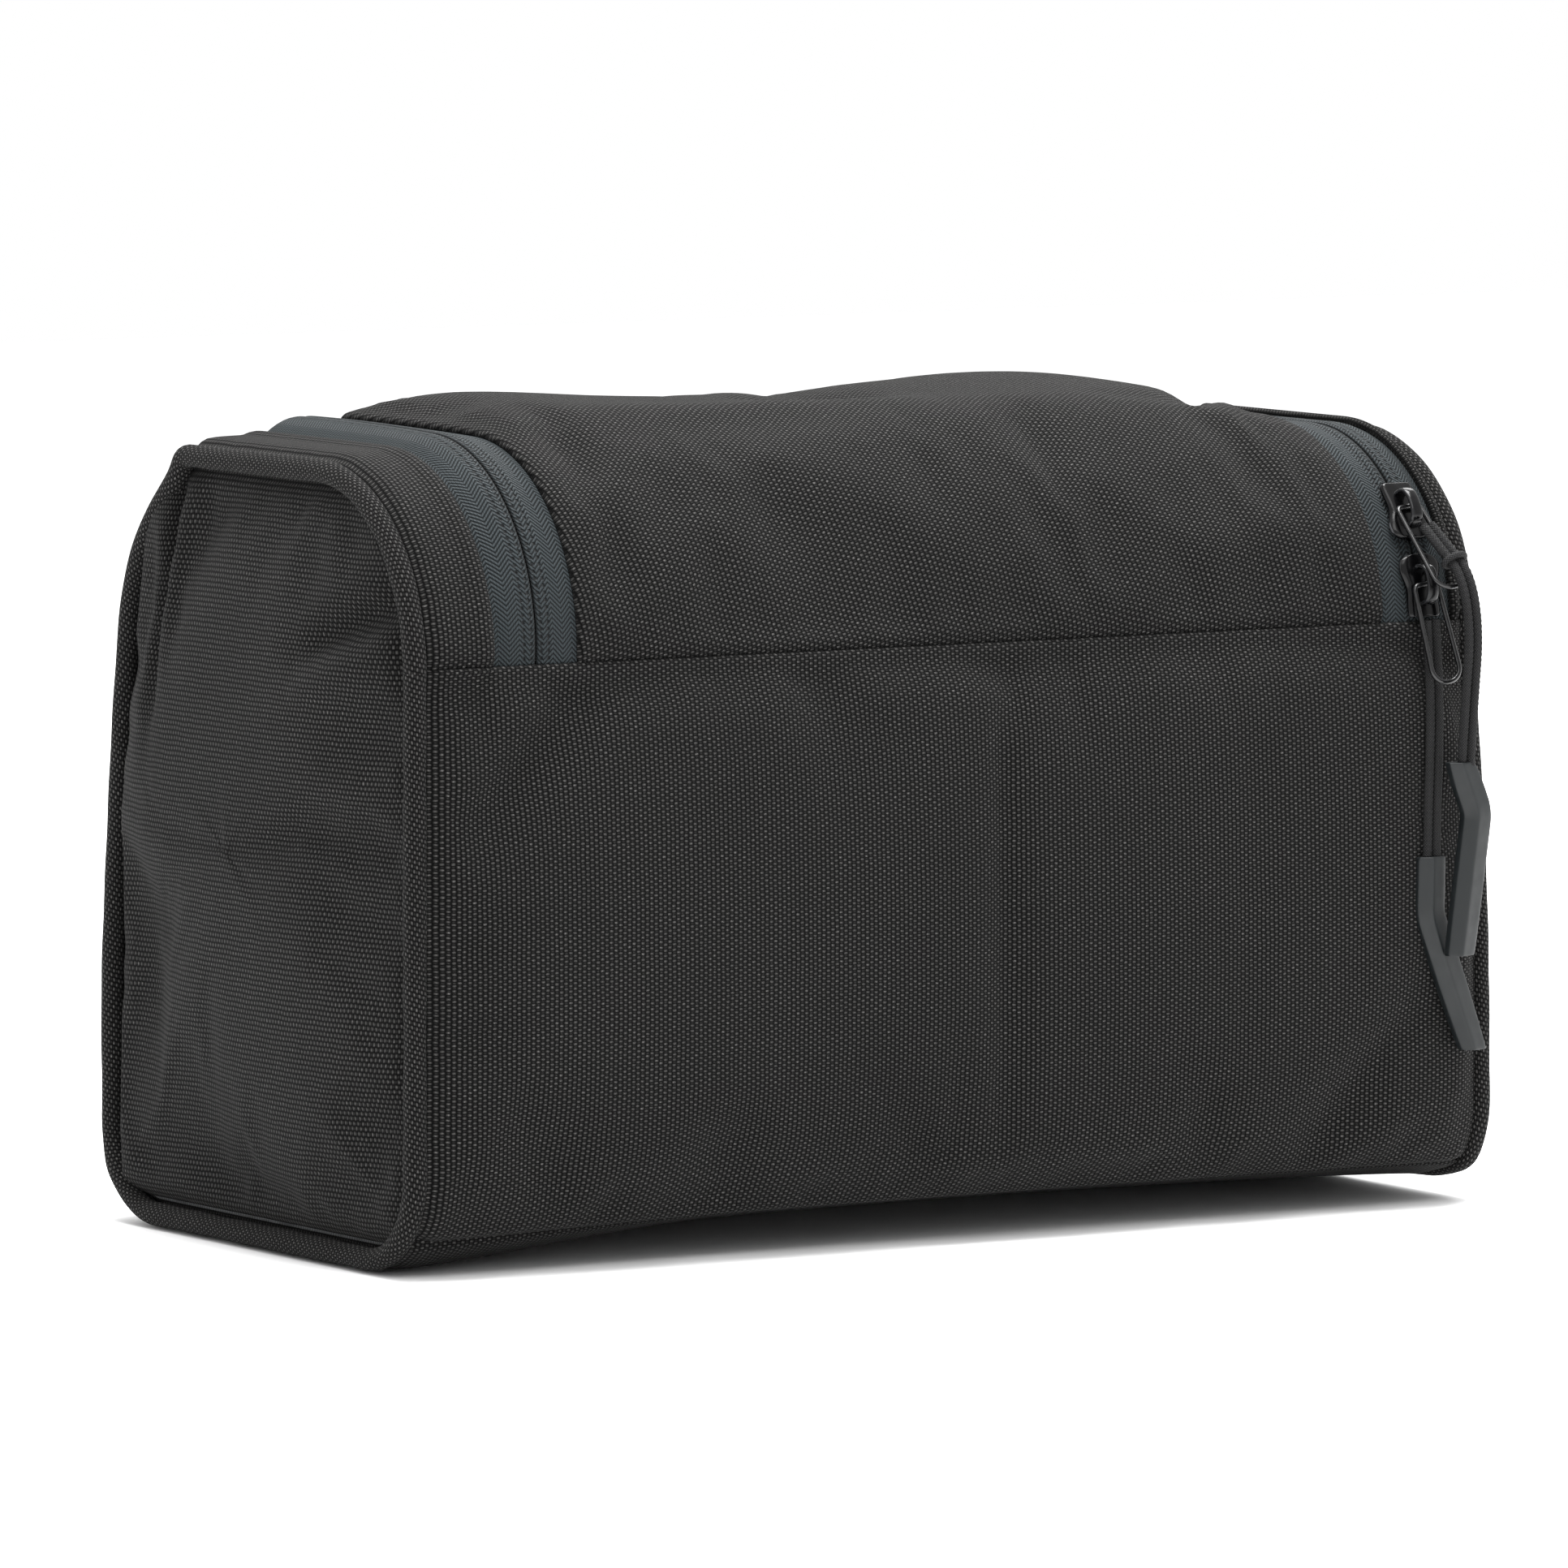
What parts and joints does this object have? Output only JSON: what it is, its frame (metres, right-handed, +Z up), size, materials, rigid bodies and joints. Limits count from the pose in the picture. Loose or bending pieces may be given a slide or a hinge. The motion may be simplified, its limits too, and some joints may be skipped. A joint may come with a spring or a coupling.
{
  "type": "hanging toiletry bag",
  "caption": "Padded rectangular toiletry bag with piped ends, a hinged lid closed by a two-slider zip with corded pulls, and a hook inside for hanging it.",
  "frame": {"origin": "bottom centre of the bag, on the surface it stands on", "axes": "+X along the bag, towards the end with the zip sliders; -Y out of the back, where the lid's hinge seam is; +Z up"},
  "size_m": [0.275, 0.1519, 0.171],
  "materials": {
    "canvas": "two-ply polyester canvas, basket weave, near black",
    "piping_cover": "the canvas cut on the bias over a cord",
    "piping_core": "twisted polypropylene filler cord",
    "foam": "closed-cell foam sheet",
    "stiffener": "polyethylene board",
    "lining": "plain-weave nylon",
    "binding": "twill tape",
    "pocket_mesh": "knitted mesh",
    "elastic": "woven elastic",
    "zip_tape": "herringbone tape, dark petrol",
    "zip_coil": "nylon coil",
    "slider_metal": "gloss black paint on die-cast zinc",
    "wire": "gloss black spring wire",
    "braided_cord": "braided polyester cord, black",
    "pull_rubber": "moulded soft rubber, matte",
    "hook_plastic": "moulded acetal, satin",
    "webbing": "woven webbing"
  },
  "bodies": {
    "bag": {"back_panel": "canvas", "front_panel": "canvas", "base_panel": "canvas", "left_side_strip": "canvas", "right_side_strip": "canvas", "left_end_panel": "canvas", "right_end_panel": "canvas", "left_piping": "piping_cover", "right_piping": "piping_cover", "left_piping_core": "piping_core", "right_piping_core": "piping_core", "back_foam": "foam", "front_foam": "foam", "base_foam": "foam", "left_strip_foam": "foam", "right_strip_foam": "foam", "left_end_foam": "foam", "right_end_foam": "foam", "base_board": "stiffener", "back_lining": "lining", "front_lining": "lining", "base_lining": "lining", "left_strip_lining": "lining", "right_strip_lining": "lining", "left_end_lining": "lining", "right_end_lining": "lining", "hinge_binding": "binding", "inner_pocket_mesh": "pocket_mesh", "inner_pocket_elastic": "elastic", "zip_tape_body": "zip_tape", "zip_coil_body": "zip_coil", "hook_webbing": "webbing"},
    "lid": {"lid_panel": "canvas", "lid_foam": "foam", "lid_lining": "lining", "zip_tape_lid": "zip_tape", "zip_coil_lid": "zip_coil"},
    "upper_slider": {"upper_slider_body": "slider_metal", "upper_slider_bridge": "slider_metal"},
    "upper_loop": {"upper_wire_loop": "wire"},
    "upper_pull": {"upper_pull_cord": "braided_cord", "upper_pull_grip": "pull_rubber"},
    "lower_slider": {"lower_slider_body": "slider_metal", "lower_slider_bridge": "slider_metal"},
    "lower_loop": {"lower_wire_loop": "wire"},
    "lower_pull": {"lower_pull_cord": "braided_cord", "lower_pull_grip": "pull_rubber"},
    "hook": {"hanging_hook": "hook_plastic"}
  },
  "joints": [
    {"name": "lid_hinge", "type": "hinge", "parent": "bag", "child": "lid", "pos_m": [0, -0.06674, 0.128], "axis": [1, 0, 0], "range_deg": [0, 150], "deforming": ["zip_tape_lid", "zip_coil_lid", "zip_tape_body", "zip_coil_body"]},
    {"name": "lower_slider_travel", "type": "hinge", "parent": "bag", "child": "lower_slider", "pos_m": [0, -0.02374, 0.128], "axis": [-1, 0, 0], "range_deg": [0, 16]},
    {"name": "upper_slider_travel", "type": "hinge", "parent": "lower_slider", "child": "upper_slider", "pos_m": [0, -0.02374, 0.128], "axis": [-1, 0, 0], "range_deg": [0, 26]},
    {"name": "upper_loop_swing", "type": "hinge", "parent": "upper_slider", "child": "upper_loop", "pos_m": [0.1176, -0.06191, 0.15375], "axis": [-1, 0, 0], "range_deg": [0, 110]},
    {"name": "upper_pull_swing", "type": "hinge", "parent": "upper_loop", "child": "upper_pull", "pos_m": [0.12001, -0.07597, 0.137], "axis": [-1, 0, 0], "range_deg": [0, 85], "deforming": ["upper_pull_cord"]},
    {"name": "lower_loop_swing", "type": "hinge", "parent": "lower_slider", "child": "lower_loop", "pos_m": [0.1176, -0.06886, 0.13718], "axis": [-1, 0, 0], "range_deg": [0, 50]},
    {"name": "lower_pull_swing", "type": "hinge", "parent": "lower_loop", "child": "lower_pull", "pos_m": [0.12019, -0.07423, 0.116], "axis": [-1, 0, 0], "range_deg": [0, 85], "deforming": ["lower_pull_cord"]},
    {"name": "hook_swing", "type": "hinge", "parent": "bag", "child": "hook", "pos_m": [0, -0.05814, 0.117], "axis": [1, 0, 0], "range_deg": [0, 145]}
  ]
}
